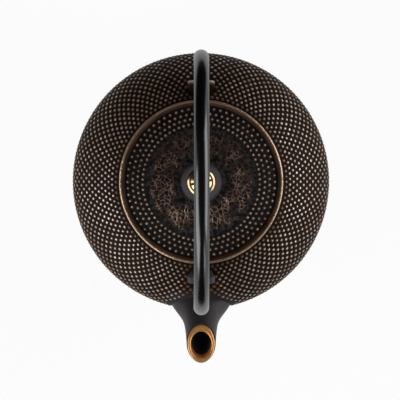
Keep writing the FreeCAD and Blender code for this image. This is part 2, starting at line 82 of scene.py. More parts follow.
# Hobnails and raised veins on the lid
LID_NAILS_PER_ROW = 72
LID_ROWS = (46.7 * MM, 43.4 * MM, 40.3 * MM, 37.1 * MM)
LID_NAIL_RADIUS = 1.35 * MM
LID_NAIL_HEIGHT = 0.6 * MM
VEIN_BAND = (17.0 * MM, 32.8 * MM)
VEIN_CELL = 2.7 * MM
VEIN_WIDTH = 0.115  # of a cell
VEIN_HEIGHT = 0.5 * MM
VEIN_SUNK = 0.3  # share of that height which lies under the lid's skin
VEIN_REAR_SHADE = 0.3  # share of the rub taken off the veins beside the knob as painted shade: none at the front, twice that at the rear
VEIN_BENDS = ((0.9, 0.35), (2.3, 0.05))  # scale and strength of each noise that bends the cells
VEIN_SEED = 7  # of those noises
VEIN_BREAKS = (0.33, 1.4)  # scale and strength of the noise that breaks the veins
VEIN_BREAKS_AT = Vector((7, 3, 0))  # keeps that noise apart from the others
VEIN_FADE = 1.6 * MM  # from the band's edges to full height
VEIN_WANDER = 2.2 * MM  # of the band's edges
VEIN_WANDER_SCALE = 0.4
VEIN_WANDER_AT = Vector((0, 0, 5))
VEIN_GRID = 0.25 * MM  # of the veins' mesh
VEIN_BROWN_FADE = 2 * MM  # from the band's edges to full brown
GAP_SHARE = 0.85  # of the colour between the lid's nails
ABOVE_POT = 0.2  # height from which rays look down

# Lid's bead, in from the lid's edge. Each pair is where a change begins and where it is full.
BEAD_CREST = 1.3 * MM
BEAD_INNER = (1.7 * MM, 1.3 * MM)
BEAD_OUTER = (0.0, 0.3 * MM)
BEAD_SLOPE = (4.6 * MM, 2.6 * MM)
BEAD_BASE = (2.2 * MM, 1.2 * MM)  # down from the bead's crest

# Studio
FLOOR_HALF = 30.0
FLOOR_SEEN = 0.94  # share of plain white in the floor that the camera sees; the rest takes the shadow
FLOOR_MIRRORED = 0.5  # of that share, in reflections
CONTACT_REACH = 18 * MM  # of the contact shadow
SKYLINE = (0.06, 0.12)  # upward part of a direction, from the white skyline to the dark sky
SKY_STRENGTHS = (1.0, 0.02)
CARD_TOP = 0.3  # height of the dark boards
LAMP_DISTANCE = 1.6

# Knob and its screw
KNOB_SHADE_START = 10.2 * MM  # radius at which the painted shade round the knob's rim begins, inside it the paler top
SCREW_HEAD = 6.9 * MM
SLOT_TURN = math.radians(12)
SLOT_HALF = 0.75 * MM
TURNING_MARKS = 26000  # radians of their wave, per length of radius

# Shoulder and spout
SHOULDER_RISE = 45.6 * MM  # half height of the shoulder's oval
LUG_STARTS = (1.01, 1.03)  # reach of a lug's first points, as a share of the shoulder's oval
LUG_LOWEST = (55 * MM, 60 * MM)
LUG_EDGE_RUB = (60.0 * MM, 64.4 * MM)  # where the rear lug's rubbed edge begins and is full
SMOOTH_FORWARD = (68 * MM, 74 * MM)  # where the smooth patch at the spout's root begins and is full
SMOOTH_BESIDE = (24 * MM, 18 * MM)
SMOOTH_LOWEST = (27 * MM, 33 * MM)
MOUTH_CENTRE = Vector((0, -103.0 * MM, 79.0 * MM))
SPOUT_SLOPE = math.radians(47)
BORE_RADIUS = 6.6 * MM
BORE_SHADE_EDGE = (BORE_RADIUS + 1.2 * MM, BORE_RADIUS + 0.8 * MM)  # from the bore's axis, where the painted shade in the bore begins and is full
GLOW_EDGE = (MOUTH_CENTRE.z - 2.5 * MM, MOUTH_CENTRE.z - 0.3 * MM)  # heights of the copper glow
LIP_OUTSIDE = (8.75 * MM, 12.25 * MM)  # half sizes of the copper lip's outer oval
LIP_INSIDE = (6.65 * MM, 8.3 * MM)
LIP_FORWARD = 0.6 * MM  # of the inner oval, which leaves the lip wider at the rear
LIP_HEIGHT = 0.7 * MM
LIP_SUNK = 0.15 * MM
LIP_FULLNESS = 0.6  # power of the lip's rise, 1 for a round section and less for a fuller one
LIP_CREST = (MOUTH_CENTRE.z - 0.1 * MM, MOUTH_CENTRE.z + LIP_HEIGHT)  # heights, from brown to bright

# Strainer
HOLE_PITCH = 2.4 * MM
HOLE_RADIUS = 0.62 * MM
HOLE_SIDES = 8
FEWEST_HOLES = 4  # round the middle of the base
SHEET = 0.5 * MM

# Colours
FIELD_DARK = (0.0052, 0.0019, 0.0008)
FIELD_LIGHT = (0.0155, 0.0064, 0.0030)
LID_DARK = (0.0030, 0.0025, 0.0024)
LID_LIGHT = (0.038, 0.0320, 0.0315)
LID_GAP = (0.0050, 0.0023, 0.0013)
LID_BROWN = (0.011, 0.0050, 0.0032)
SMOOTH_DARK = (0.0195, 0.0165, 0.0172)
SMOOTH_LIGHT = (0.038, 0.0320, 0.0335)
SPOUT_DARK = (0.024, 0.0206, 0.0214)
SPOUT_LIGHT = (0.046, 0.0394, 0.0410)
LIT_LUG_DARK = (0.046, 0.0430, 0.0480)
LIT_LUG_LIGHT = (0.092, 0.0860, 0.0950)
FLANK_DARK = (0.034, 0.0180, 0.0105)
FLANK_LIGHT = (0.104, 0.0590, 0.0370)
LID_FLANK_DARK = (0.027, 0.0145, 0.0092)
LID_FLANK_LIGHT = (0.082, 0.0470, 0.0310)
SHADED_BRONZE = (0.25, 0.115, 0.045)
TIP_DARK = (0.37, 0.305, 0.260)
TIP_LIGHT = (0.54, 0.480, 0.435)
BEAD_BRONZE = (0.46, 0.33, 0.24)
LUG_BRONZE = (0.46, 0.33, 0.26)
VEIN_DARK = (0.15, 0.082, 0.056)
VEIN_LIGHT = (0.46, 0.325, 0.250)
COPPER_DEEP = (0.26, 0.080, 0.018)
COPPER_DARK = (0.50, 0.20, 0.050)
COPPER_LIGHT = (0.92, 0.46, 0.16)
RECESS_SHADE = (0.004, 0.003, 0.0025)
ENAMEL_DARK = (0.0018, 0.0018, 0.0020)
ENAMEL_LIGHT = (0.0040, 0.0040, 0.0043)
KNOB_DARK = (0.056, 0.0490, 0.0520)
KNOB_LIGHT = (0.094, 0.0820, 0.0860)
KNOB_RIM_SHADE = (0.018, 0.0170, 0.0175)
BRASS_DARK = (0.34, 0.22, 0.10)
BRASS_LIGHT = (0.56, 0.43, 0.27)
STEEL_DARK = (0.46, 0.46, 0.45)
STEEL_LIGHT = (0.66, 0.66, 0.65)
FLOOR_GREY = (0.5, 0.5, 0.5)
FLOOR_WHITE = (0.95, 0.95, 0.95)
CONTACT_GREY = (0.05, 0.05, 0.05)
CARD_BLACK = (0.004, 0.004, 0.004)
WHITE = (1, 1, 1)


class Surface:
    """A node material, built up from the object's own coordinates."""

    def __init__(self, name):
        self.material = bpy.data.materials.new(name)
        self.material.use_nodes = True
        self.tree = self.material.node_tree
        self.tree.nodes.clear()
        self.place = self.add("TexCoord").outputs["Object"]
        self.x, self.y, self.z = self.add("SeparateXYZ", {0: self.place}).outputs

    def add(self, kind, inputs=None, **settings):
        """Adds a node. An input is given by name or number, as a value or as another node's output."""
        node = self.tree.nodes.new("ShaderNode" + kind)
        for name, setting in settings.items():
            setattr(node, name, setting)
        for key, source in (inputs or {}).items():
            if isinstance(source, bpy.types.NodeSocket):
                self.tree.links.new(source, node.inputs[key])
            else:
                node.inputs[key].default_value = source
        return node

    def math(self, operation, first, second=0.0):
        return self.add("Math", {0: first, 1: second}, operation=operation).outputs[0]

    def vector(self, operation, first, second):
        return self.add("VectorMath", {0: first, 1: second}, operation=operation)

    def step(self, source, low, high):
        """0 below low and 1 above high, or the other way round where low is the larger."""
        inputs = {"Value": source, "From Min": low, "From Max": high}
        return self.add("MapRange", inputs, interpolation_type="SMOOTHSTEP").outputs[0]

    def noise(self, scale, detail=3.0, roughness=0.55):
        inputs = {"Vector": self.place, "Scale": scale, "Detail": detail, "Roughness": roughness}
        return self.add("TexNoise", inputs).outputs["Fac"]

    def blend(self, factor, first, second):
        """Mixes two colours, each a colour or another node's output."""
        inputs = {0: factor}
        for key, colour in ((6, first), (7, second)):
            inputs[key] = colour if isinstance(colour, bpy.types.NodeSocket) else (*colour, 1.0)
        return self.add("Mix", inputs, data_type="RGBA").outputs[2]

    def spread(self, source, low, high):
        """Stretches 0 to 1 over a range."""
        return self.add("MapRange", {"Value": source, "To Min": low, "To Max": high}).outputs[0]

    def bump(self, height, strength, distance):
        inputs = {"Height": height, "Strength": strength, "Distance": distance}
        return self.add("Bump", inputs).outputs[0]

    def radius(self):
        """Distance from the pot's axis."""
        flat = self.add("CombineXYZ", {0: self.x, 1: self.y}).outputs[0]
        return self.add("VectorMath", {0: flat}, operation="LENGTH").outputs["Value"]

    def shine(self, **inputs):
        """Ends the material in one shader."""
        names = {name.replace("_", " "): source for name, source in inputs.items()}
        shader = self.add("BsdfPrincipled", names)
        self.add("OutputMaterial", {0: shader.outputs[0]})
        return self.material


def cast_grain(surface, strength):
    """Fine pits and swells of an iron casting."""
    fine = surface.noise(1900, 4, 0.65)
    broad = surface.noise(420, 2)
    height = surface.math("ADD", surface.math("MULTIPLY", fine, 0.6), broad)
    return surface.bump(height, strength, 0.12 * MM)


def pot_iron(belly_radius):
    """Matt brown-black belly, smooth at the spout's root, with the front lug painted a lighter slate as
    painted light and the rear lug kept dark as painted shade, its edge rubbed.
    """
    s = Surface("pot_iron")
    mottle = s.noise(140, 4, 0.6)
    field = s.blend(mottle, FIELD_DARK, FIELD_LIGHT)
    smooth = s.blend(mottle, SMOOTH_DARK, SMOOTH_LIGHT)

    # A lug is what stands outside the oval of the shoulder, above the belly's widest ring.
    middle = Vector((0, 0, WIDEST_HEIGHT))
    size = Vector((1 / belly_radius, 1 / belly_radius, 1 / SHOULDER_RISE))
    from_middle = s.vector("SUBTRACT", s.place, middle).outputs[0]
    shares = s.vector("MULTIPLY", from_middle, size).outputs[0]
    reach = s.add("VectorMath", {0: shares}, operation="LENGTH").outputs["Value"]
    on_lug = s.math("MULTIPLY", s.step(reach, *LUG_STARTS), s.step(s.z, *LUG_LOWEST))
    # Painted light and shade: the front lug takes a lighter slate, the rear lug the belly's dark colour.
    at_rear = s.step(s.y, -1 * MM, 1 * MM)
    lug = s.blend(at_rear, s.blend(mottle, LIT_LUG_DARK, LIT_LUG_LIGHT), field)
    edge = s.math("POWER", s.step(s.y, *LUG_EDGE_RUB), 4)
    rub = s.math("MULTIPLY", s.math("MULTIPLY", on_lug, edge), s.step(s.noise(260), 0.1, 0.5))

    forward = s.step(s.math("MULTIPLY", s.y, -1), *SMOOTH_FORWARD)
    beside = s.step(s.math("ABSOLUTE", s.x), *SMOOTH_BESIDE)
    above = s.step(s.z, *SMOOTH_LOWEST)
    at_root = s.math("MULTIPLY", s.math("MULTIPLY", forward, beside), above)
    bare = s.math("MAXIMUM", on_lug, at_root)
    colour = s.blend(bare, field, smooth)
    colour = s.blend(on_lug, colour, lug)
    return s.shine(
        Base_Color=s.blend(rub, colour, LUG_BRONZE),
        Roughness=0.5, Specular_IOR_Level=0.05, Normal=cast_grain(s, 0.30))


def spout_iron():
    """Slate-black spout, made near black in its bore as painted shade, with a copper glow inside the front
    of its mouth.
    """
    s = Surface("spout_iron")
    mottle = s.noise(140, 4, 0.6)
    colour = s.blend(mottle, SPOUT_DARK, SPOUT_LIGHT)
    from_mouth = s.vector("SUBTRACT", s.place, MOUTH_CENTRE).outputs[0]
    along = Vector((0, -math.cos(SPOUT_SLOPE), math.sin(SPOUT_SLOPE)))
    depth = s.vector("DOT_PRODUCT", from_mouth, along).outputs["Value"]
    on_axis = s.add("VectorMath", {0: along, "Scale": depth}, operation="SCALE").outputs[0]
    from_axis = s.vector("SUBTRACT", from_mouth, on_axis).outputs[0]
    off_axis = s.add("VectorMath", {0: from_axis}, operation="LENGTH").outputs["Value"]
    in_bore = s.step(off_axis, *BORE_SHADE_EDGE)
    copper = s.math("MULTIPLY", in_bore, s.step(s.z, *GLOW_EDGE))
    # Painted shade: the bore is coloured near black.
    colour = s.blend(in_bore, colour, RECESS_SHADE)
    colour = s.blend(copper, colour, s.blend(s.noise(330, 3), COPPER_DEEP, COPPER_DARK))
    return s.shine(
        Base_Color=colour, Metallic=s.math("MULTIPLY", copper, 0.5),
        Roughness=s.spread(in_bore, 0.42, 1.0), Specular_IOR_Level=0.25, Normal=cast_grain(s, 0.30))


def copper_lip():
    """Copper worn bright along the top of the lip and brown at its edges."""
    s = Surface("copper_lip")
    patches = s.noise(300, 4, 0.6)
    light = s.math("MULTIPLY", s.step(s.z, *LIP_CREST), s.step(patches, 0.2, 0.55))
    return s.shine(
        Base_Color=s.blend(light, COPPER_DARK, COPPER_LIGHT), Metallic=0.55,
        Roughness=s.spread(patches, 0.27, 0.40), Normal=cast_grain(s, 0.1))


def lid_iron(lid_radius, bead_height):
    """Black iron with a pebbled skin, brown among its veins, and a rubbed bronze bead round its edge, whose
    inner slope has copper rub painted darker as painted shade.
    """
    s = Surface("lid_iron")

    def inward(begins, full):
        """A step over distances in from the lid's edge."""
        return s.step(radius, lid_radius - begins, lid_radius - full)

    pebbles = s.step(s.noise(400, 3, 0.6), 0.38, 0.62)
    colour = s.blend(pebbles, LID_DARK, LID_LIGHT)
    radius = s.radius()
    inner, outer = VEIN_BAND
    among_veins = s.math("MULTIPLY", s.step(radius, inner, inner + VEIN_BROWN_FADE),
                         s.step(radius, outer, outer - VEIN_BROWN_FADE))
    colour = s.blend(s.math("MULTIPLY", among_veins, s.spread(pebbles, 0.8, 0.2)), colour, LID_BROWN)
    among_nails = s.step(radius, outer, LID_ROWS[-1])
    colour = s.blend(s.math("MULTIPLY", among_nails, GAP_SHARE), colour, LID_GAP)
    crest = s.math("MULTIPLY", inward(*BEAD_INNER), inward(*BEAD_OUTER))
    high = s.step(s.z, bead_height - BEAD_BASE[0], bead_height - BEAD_BASE[1])
    worn = s.step(s.noise(90, 3), 0.25, 0.6)
    bead = s.math("MULTIPLY", s.math("MULTIPLY", crest, high), s.spread(worn, 0.6, 1.0))
    # The bead's inner slope: copper rub, darkened as painted shade.
    behind = s.math("MULTIPLY", inward(*BEAD_SLOPE), high)
    slope = s.math("MULTIPLY", behind, s.spread(worn, 0.08, 0.28))
    colour = s.blend(slope, colour, SHADED_BRONZE)
    colour = s.blend(bead, colour, BEAD_BRONZE)
    hammered = s.bump(pebbles, 0.5, 0.25 * MM)
    return s.shine(
        Base_Color=colour, Metallic=s.math("MULTIPLY", bead, 0.75),
        Roughness=s.spread(bead, 0.5, 0.24), Specular_IOR_Level=0.1, Normal=hammered)


def rubbed_iron(name, flanks, tips, rubbed, least, metal, polish):
    """Dark flanks and bronze tips, over a range of the rub attribute, more unevenly where least is high.
    That attribute also holds painted shade on the nails by the lid and the lugs and at the rear of the
    veins.
    """
    s = Surface(name)
    rub = s.add("Attribute", attribute_name="rub").outputs["Fac"]
    uneven = s.step(s.noise(160, 3), least, 0.62)
    worn = s.math("MULTIPLY", s.step(rub, *rubbed), uneven)
    dark = s.blend(s.noise(170, 4, 0.6), *flanks)
    bronze = s.blend(s.step(s.noise(90, 3), 0.3, 0.6), *tips)
    return s.shine(
        Base_Color=s.blend(worn, dark, bronze), Metallic=s.math("MULTIPLY", worn, metal),
        Roughness=s.spread(worn, 0.5, polish), Specular_IOR_Level=0.06, Normal=cast_grain(s, 0.08))


def enamel_coat(surface, roughness, grain):
    """Roughness and normal of enamel over a fine cast grain."""
    rough = surface.spread(surface.noise(800, 3), roughness - 0.05, roughness + 0.07)
    broad = surface.math("MULTIPLY", surface.noise(500, 2), 0.8)
    height = surface.math("ADD", surface.noise(2600, 4, 0.7), broad)
    return {"Roughness": rough, "Normal": surface.bump(height, grain, 0.08 * MM)}


def bail_enamel():
    """Glossy black enamel."""
    s = Surface("bail_enamel")
    colour = s.blend(s.noise(230, 4, 0.6), ENAMEL_DARK, ENAMEL_LIGHT)
    return s.shine(Base_Color=colour, Specular_IOR_Level=0.9, **enamel_coat(s, 0.22, 0.07))


def knob_enamel():
    """Matt slate enamel, blacker round the knob's rim and stem as painted shade."""
    s = Surface("knob_enamel")
    colour = s.blend(s.noise(230, 4, 0.6), KNOB_DARK, KNOB_LIGHT)
    # Painted shade darkens the knob towards its rim.
    rim = s.step(s.radius(), KNOB_SHADE_START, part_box("lid_knob")[1].x)
    colour = s.blend(rim, colour, KNOB_RIM_SHADE)
    return s.shine(Base_Color=colour, Specular_IOR_Level=0.2, **enamel_coat(s, 0.62, 0.15))


def aged_brass():
    """Polished brass with fine turning marks, darker patches, and painted shade round the head and in its
    slot.
    """
    s = Surface("aged_brass")
    patches = s.noise(380, 4, 0.6)
    radius = s.radius()
    colour = s.blend(s.step(patches, 0.35, 0.7), BRASS_LIGHT, BRASS_DARK)
    in_ring = s.math("MULTIPLY", s.step(radius, SCREW_HEAD - 0.5 * MM, SCREW_HEAD - 0.1 * MM),
                     s.step(radius, SCREW_HEAD + 1.0 * MM, SCREW_HEAD + 0.5 * MM))
    along = Vector((-math.sin(SLOT_TURN), math.cos(SLOT_TURN), 0))
    off_slot = s.math("ABSOLUTE", s.vector("DOT_PRODUCT", s.place, along).outputs["Value"])
    in_slot = s.math("MULTIPLY", s.step(off_slot, SLOT_HALF + 0.05 * MM, SLOT_HALF),
                     s.step(radius, SCREW_HEAD, SCREW_HEAD - 0.2 * MM))
    # Painted shade in the gap round the head and in the slot, which are also rougher.
    gap_and_slot_shade = s.math("MAXIMUM", in_ring, in_slot)
    rings = s.math("SINE", s.math("MULTIPLY", radius, TURNING_MARKS))
    rough = s.math("ADD", s.spread(patches, 0.16, 0.30), s.math("MULTIPLY", gap_and_slot_shade, 0.4))
    return s.shine(
        Base_Color=s.blend(s.math("MULTIPLY", gap_and_slot_shade, 0.92), colour, RECESS_SHADE), Metallic=1.0, Roughness=rough,
        Normal=s.bump(rings, 0.06, 0.02 * MM))


def strainer_steel():
    """Stainless sheet with the drawn streaks of its pressing."""
    s = Surface("strainer_steel")
    stretched = s.add("Mapping", {"Vector": s.place, "Scale": (900, 900, 60)}).outputs[0]
    streaks = s.add("TexNoise", {"Vector": stretched, "Scale": 1.0, "Detail": 3.0}).outputs["Fac"]
    return s.shine(
        Base_Color=s.blend(streaks, STEEL_DARK, STEEL_LIGHT), Metallic=1.0,
        Roughness=s.spread(streaks, 0.24, 0.40), Normal=s.bump(streaks, 0.08, 0.03 * MM))


def paint(node, material):
    """Gives a CAD node its material."""
    mesh = nodes[node].data
    mesh.materials.clear()
    mesh.materials.append(material)


def add_mesh(name, points, faces, material, body, rub=None):
    """Makes a smooth piece that rides on a body."""
    mesh = bpy.data.meshes.new(name)
    mesh.from_pydata(points, [], faces)
    mesh.validate()
    mesh.shade_smooth()
    mesh.materials.append(material)
    if rub is not None:
        mesh.attributes.new("rub", "FLOAT", "POINT").data.foreach_set("value", rub)
    piece = bpy.data.objects.new(name, mesh)
    bpy.context.scene.collection.objects.link(piece)
    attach(piece, body)
    return piece


def surface_of(node):
    """A CAD node's surface, for rays."""
    return BVHTree.FromObject(nodes[node], bpy.context.evaluated_depsgraph_get())


class Meridian:
    """The outline of a round piece on its +X side, by the length along it from its start."""

    def __init__(self, node, height, slopes):
        tree = surface_of(node)
        centre = Vector((0, 0, height))
        reach = 0.5
        found = []
        for slope in slopes:
            way = Vector((math.cos(slope), 0, math.sin(slope)))
            place = tree.ray_cast(centre + way * reach, -way)[0]
            found.append((place.x, place.z))
        self.radii, self.heights = np.array(found).T
        steps = np.hypot(np.diff(self.radii), np.diff(self.heights))
        self.lengths = np.concatenate(([0], np.cumsum(steps)))

    def at(self, length):
        """(radius, height, outward part and upward part of the normal) at a length."""
        radius = np.interp(length, self.lengths, self.radii)
        height = np.interp(length, self.lengths, self.heights)
        near = ROW_STEP / 4
        across = np.interp([length - near, length + near], self.lengths, self.radii)
        up = np.interp([length - near, length + near], self.lengths, self.heights)
        way = np.array([up[0] - up[1], across[1] - across[0]])
        return radius, height, *(way / np.linalg.norm(way))

    def length_at_radius(self, radius):
        """The first length at which the outline reaches a radius."""
        return float(self.lengths[np.argmax(self.radii >= radius)])

    def length_at_height(self, height):
        return float(self.lengths[np.argmax(self.heights <= height)])


def nail_field(name, places, material, body, seed):
    """Makes one piece of small domes. A place is a point, a normal, a radius, a height and the most rub,
    which also holds painted shade.
    """
    rng = np.random.default_rng(seed)
    points = []
    faces = []
    rub = []
    turns = [2 * math.pi * side / NAIL_SIDES for side in range(NAIL_SIDES)]
    for place, normal, radius, height, most_rub_and_shade in places:
        across = normal.orthogonal().normalized()
        beside = normal.cross(across)
        wide = radius * rng.uniform(*WIDTH_SPREAD)
        high = height * rng.uniform(*HEIGHT_SPREAD)
        wear_and_shade = rng.uniform(*RUB_SPREAD) * most_rub_and_shade
        first = len(points)
        for share, rise in NAIL_OUTLINE[:-1]:
            for turn in turns:
                spoke = across * math.cos(turn) + beside * math.sin(turn)
                points.append(place + spoke * (wide * share) + normal * (high * rise))
                rub.append(max(rise, 0) * wear_and_shade)
        points.append(place + normal * high)
        rub.append(wear_and_shade)
        tip = len(points) - 1
        for ring in range(len(NAIL_OUTLINE) - 2):
            low = first + ring * NAIL_SIDES
            for side in range(NAIL_SIDES):
                after = (side + 1) % NAIL_SIDES
                faces.append((low + side, low + after, low + NAIL_SIDES + after, low + NAIL_SIDES + side))
        top = tip - NAIL_SIDES
        for side in range(NAIL_SIDES):
            faces.append((top + side, top + (side + 1) % NAIL_SIDES, tip))
    return add_mesh(name, points, faces, material, body, rub)


def belly_nails(material):
    """Hobnail rows round the belly, left out on the spout's root and round the lugs."""
    belly = Meridian("pot_body", WIDEST_HEIGHT, np.radians(np.linspace(*BELLY_SLOPES, OUTLINE_POINTS)))
    start = belly.length_at_radius(ROW_START)
    end = belly.length_at_height(ROW_LOWEST)
    spout_length = belly.length_at_height(BARE_SPOUT_HEIGHT)
    places = []
    for row, length in enumerate(np.arange(start, end, ROW_STEP)):
        radius, height, out, up = belly.at(length)
        size = NAIL_SPREAD * math.hypot(math.pi * radius / NAILS_PER_ROW, ROW_STEP)
        # Painted shade, and dirt: the row under the lid's overhang gets less rub.
        row_shade_rub = FIRST_ROW_SHADE_RUB if row == 0 else 1.0
        for nail in range(NAILS_PER_ROW):
            turn = 2 * math.pi * (nail + 0.5 * (row % 2)) / NAILS_PER_ROW
            ray = Vector((math.cos(turn), math.sin(turn), 0))
            place = ray * radius + Vector((0, 0, height))
            off_spout = math.hypot(place.x / BARE_SPOUT[0], (length - spout_length) / BARE_SPOUT[1])
            off_lug = math.hypot(place.x / BARE_LUG[0], (abs(place.y) - LUG_REACH) / BARE_LUG[1])
            on_top = height > WIDEST_HEIGHT
            if (place.y < 0 and off_spout < 1) or (on_top and off_lug < 1):
                continue
            # Painted shade: the nails beside the lugs and the bail get less rub.
            beside_lug = on_top and place.y < LUG_EDGE
            lug_shade_rub = np.interp(abs(place.x), LUG_SHADE_REACH, (LUG_SHADE_RUB, 1.0)) if beside_lug else 1.0
            normal = ray * out + Vector((0, 0, up))
            places.append((place, normal, size, NAIL_HEIGHT, min(row_shade_rub, lug_shade_rub)))
    return nail_field("belly_hobnails", places, material, "pot", seed=3)


def lid_height(tree, x, y):
    """Height and normal of the lid's top at a place."""
    above = Vector((x, y, ABOVE_POT))
    place, normal = tree.ray_cast(above, Vector((0, 0, -1)))[:2]
    return place.z, normal


def lid_nails(material):
    """Staggered hobnail rows on the lid, between its bead and its veins."""
    tree = surface_of("lid")
    places = []
    for row, radius in enumerate(LID_ROWS):
        for nail in range(LID_NAILS_PER_ROW):
            turn = 2 * math.pi * (nail + 0.5 * (row % 2)) / LID_NAILS_PER_ROW
            x = radius * math.cos(turn)
            y = radius * math.sin(turn)
            height, normal = lid_height(tree, x, y)
            places.append((Vector((x, y, height)), normal, LID_NAIL_RADIUS, LID_NAIL_HEIGHT, 1.0))
    return nail_field("lid_hobnails", places, material, "lid", seed=5)


def vein_strength(x, y):
    """How far a raised vein stands at a place, from 0 to 1: the borders of uneven cells, bent and broken."""
    place = Vector((x, y, 0)) / VEIN_CELL
    radius = math.hypot(x, y)
    wander = noise.noise(place * VEIN_WANDER_SCALE + VEIN_WANDER_AT) * VEIN_WANDER
    inside = min(radius + wander - VEIN_BAND[0], VEIN_BAND[1] - radius + wander) / VEIN_FADE
    bend = Vector()
    for scale, strength in VEIN_BENDS:
        bend += noise.noise_vector(place * scale) * strength
    near, next_near = noise.voronoi(place + Vector((bend.x, bend.y, 0)))[0][:2]
    border = 1 - min((next_near - near) / (2 * VEIN_WIDTH), 1)
    scale, strength = VEIN_BREAKS
    whole = 1.0 + noise.noise(place * scale + VEIN_BREAKS_AT) * strength
    return border * min(max(whole, 0), max(inside, 0), 1)


def lid_veins(material):
    """A band of raised veins round the knob. Only what stands above the lid is kept."""
    noise.seed_set(VEIN_SEED)
    tree = surface_of("lid")
    inner, outer = VEIN_BAND
    rings = round((outer - inner) / VEIN_GRID)
    spokes = round(2 * math.pi * outer / VEIN_GRID)
    points = []
    rub = []
    heights = []
    for ring in range(rings + 1):
        radius = inner + (outer - inner) * ring / rings
        height = lid_height(tree, radius, 0)[0]
        heights.append(height)
        for spoke in range(spokes):
            turn = 2 * math.pi * spoke / spokes
            x = radius * math.cos(turn)
            y = radius * math.sin(turn)
            strength = vein_strength(x, y)
            points.append((x, y, height + VEIN_HEIGHT * (strength - VEIN_SUNK)))
            # Painted shade: the veins' rub falls off towards the rear.
            rub.append(strength * (1 - VEIN_REAR_SHADE * (1 + y / outer)))
    faces = []
    for ring in range(rings):
        for spoke in range(spokes):
            after = (spoke + 1) % spokes
            corners = [ring * spokes + spoke, (ring + 1) * spokes + spoke,
                       (ring + 1) * spokes + after, ring * spokes + after]
            if max(points[corner][2] - heights[ring] for corner in corners) > 0:
                faces.append(corners)
    used = sorted({corner for face in faces for corner in face})
    number = {old: new for new, old in enumerate(used)}
    return add_mesh(
        "lid_veins", [points[old] for old in used], [[number[old] for old in face] for face in faces],
        material, "lid", [rub[old] for old in used])


def spout_lip(material):
    """A rounded copper lip round the spout's mouth."""
    around = 72
    across = 9
    points = []
    for step in range(around):
        turn = 2 * math.pi * step / around
        for share in np.linspace(0, 1, across):
            wide = LIP_INSIDE[0] + (LIP_OUTSIDE[0] - LIP_INSIDE[0]) * share
            long = LIP_INSIDE[1] + (LIP_OUTSIDE[1] - LIP_INSIDE[1]) * share
            rise = LIP_HEIGHT * math.sin(math.pi * share) ** LIP_FULLNESS - LIP_SUNK
            forward = LIP_FORWARD * (1 - share)
            way = Vector((wide * math.cos(turn), long * math.sin(turn) - forward, rise))
            points.append(MOUTH_CENTRE + way)
    faces = []
    for step in range(around):
        here = step * across
        there = (step + 1) % around * across
        for place in range(across):
            after = (place + 1) % across
            faces.append((here + place, here + after, there + after, there + place))
    return add_mesh("spout_lip", points, faces, material, "pot")


def perforated(name, rows, point, columns_of, material, *replaced):
    """Makes a sheet of rows of cells with a round hole in each. point gives a place by row and turn."""
    points = []
    faces = []
    for row in range(rows):
        columns = columns_of(row)
        for column in range(columns):
            def spot(across, up):
                return point(row + 0.5 + up, (column + 0.5 + across) / columns)
            rim = []
            hole = []
            size = HOLE_RADIUS / HOLE_PITCH
            for side in range(HOLE_SIDES):
                turn = 2 * math.pi * side / HOLE_SIDES
                across = math.cos(turn)
                up = math.sin(turn)
                reach = 0.5 / max(abs(across), abs(up))
                rim.append(spot(across * reach, up * reach))
                hole.append(spot(across * size, up * size))
            first = len(points)
            points += rim + hole
            for side in range(HOLE_SIDES):
                after = (side + 1) % HOLE_SIDES
                faces.append((first + side, first + after,
                              first + HOLE_SIDES + after, first + HOLE_SIDES + side))
    piece = add_mesh(name, points, faces, material, "strainer")
    thick = piece.modifiers.new("thickness", "SOLIDIFY")
    thick.thickness = SHEET
    thick.offset = 0
    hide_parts(*replaced)
    return piece


def strainer_sheets(material):
    """The strainer's perforated wall and base, in the places of their plain solids."""
    wall_low, wall_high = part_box("strainer_wall")
    base_low, base_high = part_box("strainer_base")
    top_radius = wall_high.x - SHEET / 2
    low_radius = base_high.x - SHEET / 2
    tall = wall_high.z - wall_low.z
    wall_rows = round(tall / HOLE_PITCH)

    def on_wall(row, turn):
        share = row / wall_rows
        radius = low_radius + (top_radius - low_radius) * share
        angle = 2 * math.pi * turn
        return (radius * math.cos(angle), radius * math.sin(angle), wall_low.z + tall * share)

    wall_columns = round(2 * math.pi * low_radius / HOLE_PITCH)
    perforated("strainer_wall_sheet", wall_rows, on_wall, lambda row: wall_columns,
               material, "strainer_wall")

    base_rows = round(low_radius / HOLE_PITCH)
    dish = base_high.z - base_low.z - SHEET

    def on_base(row, turn):
        radius = low_radius * row / base_rows
        angle = 2 * math.pi * turn
        fall = dish * (1 - row / base_rows)
        return (radius * math.cos(angle), radius * math.sin(angle), base_high.z - SHEET / 2 - fall)

    def base_columns(row):
        return max(round(2 * math.pi * (row + 0.5)), FEWEST_HOLES)

    perforated("strainer_base_sheet", base_rows, on_base, base_columns, material, "strainer_base")


def floor_white():
    """A floor that the camera sees near full white, and mirrors half as much so, with the pot's shadow."""
    s = Surface("floor_white")
    path = s.add("LightPath").outputs
    mirrored = s.math("MAXIMUM", path["Is Glossy Ray"], path["Is Transmission Ray"])
    seen = s.math("MAXIMUM", path["Is Camera Ray"], s.math("MULTIPLY", mirrored, FLOOR_MIRRORED))
    plain = s.add("BsdfDiffuse", {"Color": s.blend(path["Is Camera Ray"], FLOOR_GREY, FLOOR_WHITE)})
    under_pot = s.add("AmbientOcclusion", {"Distance": CONTACT_REACH}, samples=16).outputs["AO"]
    white = s.add("Emission", {"Color": s.blend(under_pot, CONTACT_GREY, WHITE), "Strength": 1.0})
    share = s.math("MULTIPLY", seen, FLOOR_SEEN)
    mixed = s.add("MixShader", {0: share, 1: plain.outputs[0], 2: white.outputs[0]})
    s.add("OutputMaterial", {0: mixed.outputs[0]})
    return s.material


